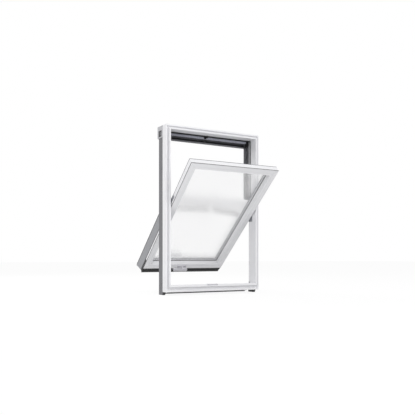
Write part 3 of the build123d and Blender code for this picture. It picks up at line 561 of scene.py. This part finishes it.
def make_fasteners():
    """Screws of the guides, arms, keeper, handle, hood and claddings."""
    guide_screws, arm_screws, cladding_screws, cover_screws = [], [], [], []
    for side in (-1, 1):
        inward, outward = -90 * side, 90 * side
        for y, z in GUIDE_SCREW_SPOTS:
            guide_screws.append((screw_head(*GUIDE_HEAD),
                                 placed(side * GUIDE_PLATE_FACE, y, z, turn_y=inward)))
        for z in ARM_SCREW_HEIGHTS:
            arm_screws.append((screw_head(*ARM_HEAD),
                               placed(side * ARM_FACE, SASH_FACE + 32, z, turn_y=outward)))
        for z in SIDE_SCREW_HEIGHTS:
            cladding_screws.append((screw_head(*SIDE_HEAD),
                                    placed(side * SIDE_CLADDING_FACE, 34.0, z, turn_y=outward)))
        for z in UPPER_COVER_SCREW_HEIGHTS:
            cladding_screws.append((screw_head(*COVER_HEAD),
                                    placed(side * UPPER_COVER_MIDDLE, UPPER_COVER_BACK, z, turn_x=-90)))
        for z in HOOD_SCREW_HEIGHTS:
            cladding_screws.append((screw_head(*COVER_HEAD),
                                    placed(side * HOOD_SCREW_PLACE, HOOD_BACK, z, turn_x=-90)))
        for z in SASH_COVER_SCREW_HEIGHTS:
            cover_screws.append((screw_head(*COVER_HEAD),
                                 placed(side * SASH_COVER_MIDDLE, COVER_DEPTH, z, turn_x=-90)))
    for x in RAIL_COVER_SCREW_PLACES:
        for z in RAIL_COVER_MIDDLES:
            cover_screws.append((screw_head(*COVER_HEAD), placed(x, COVER_DEPTH, z, turn_x=-90)))
    add_piece("guide_screws", join(guide_screws), zinc_plate)
    add_piece("arm_screws", join(arm_screws), zinc_plate, True)
    add_piece("cladding_screws", join(cladding_screws), powder_coat)
    add_piece("sash_cover_screws", join(cover_screws), cover_coat_painted_lighter, True)
    keeper = [(screw_head(*KEEPER_HEAD), placed(x, -39.0, 51.4)) for x in (-56.0, 14.0)]
    add_piece("keeper_screws", join(keeper), zinc_plate)
    caps = [(screw_head(*HANDLE_HEAD), placed(x, SASH_FACE - 8.9, LEVER_HEIGHT, turn_x=90))
            for x in (-55.0, 5.0)]
    add_piece("handle_screws", join(caps), cast_lacquer, True)


def make_handle_grip():
    """Grip ribs on the lever's face, and a light plastic pad let into its upper side."""
    ribs = [(rounded_bar(58.0, 1.0, 0.9, 0.3), placed(-66.0, -68.6, LEVER_HEIGHT + offset))
            for offset in (-5.0, 0.0, 5.0)]
    add_piece("lever_grip_ribs", join(ribs), cast_lacquer, True)
    inlay = [(rounded_bar(54.0, 9.0, 1.0, 0.4), placed(-60.0, -59.5, 93.1, turn_y=1.0))]
    add_piece("lever_inlay", join(inlay), light_asa, True)


BUSH_DEPTH, BUSH_HEIGHT = 39.0, 49.0


def make_bolt_bushes():
    """Light bushes low on the jambs that take the sash's bolts when it is turned for cleaning."""
    bushes = []
    for side in (-1, 1):
        bushes.append((rounded_bar(3.0, 18.0, 18.0, 1.2), placed(side * 354.6, BUSH_DEPTH, BUSH_HEIGHT)))
        bushes.append((screw_head(*BUSH_HEAD),
                       placed(side * 353.4, BUSH_DEPTH, BUSH_HEIGHT, turn_y=-90 * side)))
    add_piece("bolt_bushes", join(bushes), light_asa)


make_fasteners()
make_handle_grip()
make_bolt_bushes()


# Inside of the hood

FIN_PITCH, FINS_EACH_WAY = 15.0, 21
# Each hood corner: blocks as width, depth, height, and their places as X, Y, Z
HOOD_CORNER_BLOCKS = (
    ((22.0, 24.0, 30.0), (343.5, 62.0, 1130.0)),
    ((16.0, 14.0, 16.0), (341.0, 58.0, 1107.0)),
    ((7.0, 10.0, 44.0), (334.0, 66.0, 1118.0)),
)


def make_hood_inside():
    """Vent fins on the painted profile, a latch bar, foam along the hood's lip, rims and corners."""
    fins = [(rounded_bar(5.0, 2.2, 17.0, 0.6), placed(number * FIN_PITCH, 47.6, 1129.0))
            for number in range(-FINS_EACH_WAY, FINS_EACH_WAY + 1)]
    # The fins take the profile's paint made paler: painted light
    add_piece("vent_fins", join(fins), vent_paint_lightened)
    bar = [(rounded_bar(19.0, 6.0, 14.0, 1.0), placed(-33.0, 45.2, 1130.5)),
           (rounded_bar(19.0, 36.0, 3.0, 1.0), placed(-22.0, 80.0, 1112.0, turn_x=-35))]
    add_piece("vent_latch_bar", join(bar), black_polyamide)
    foam = [(rounded_bar(774.0, 3.0, 14.0, 1.0), placed(0, 100.4, 1115.0))]
    add_piece("hood_foam_strip", join(foam), closed_foam)
    grommets = [(rounded_ring(49.4, 43.4, 8.0, 1.6, 0.5),
                 placed(side * (FRAME_HALF_WIDTH + 1.0) + 0.8, 58.5, 1127.0, turn_z=90)) for side in (-1, 1)]
    add_piece("hood_end_grommets", join(grommets), black_polyamide)
    corners = [(rounded_bar(*size, 1.5), placed(side * x, y, z))
               for side in (-1, 1) for size, (x, y, z) in HOOD_CORNER_BLOCKS]
    add_piece("hood_corner_pieces", join(corners), black_polyamide)


make_hood_inside()


# Edges of the sash's side ribs

# Width, length, X beside the middle, depth behind the sash's face, and height of the middle
# The first row is a seal; the second, along the rib's outer fold, is a dark strip of painted shade
RIB_SEAL_AND_SHADE_LINES = ((4.0, 540.0, 351.2, 26.4, 285.0), (5.0, 660.0, 350.4, 112.6, 310.0))


def make_rib_edges():
    """A rubber line down the rib's inner edge, a dark rubber strip along its outer fold as painted shade, and
    the light caps that close its slanted tail.
    """
    lines, caps = [], []
    for side in (-1, 1):
        for width, length, x, depth, middle in RIB_SEAL_AND_SHADE_LINES:
            lines.append((rounded_bar(1.2, width, length, 0.4), placed(side * x, SASH_FACE + depth, middle)))
        caps.append((rounded_bar(7.0, 22.0, 16.0, 1.2),
                     placed(side * 346.0, SASH_FACE + 38.0, 14.0, turn_x=-29)))
    # Black rubber for both rows: the outer one is painted shade
    add_piece("rib_seal_and_fold_shade_lines", join(lines), black_epdm, True)
    add_piece("rib_tail_caps", join(caps), light_asa, True)


make_rib_edges()
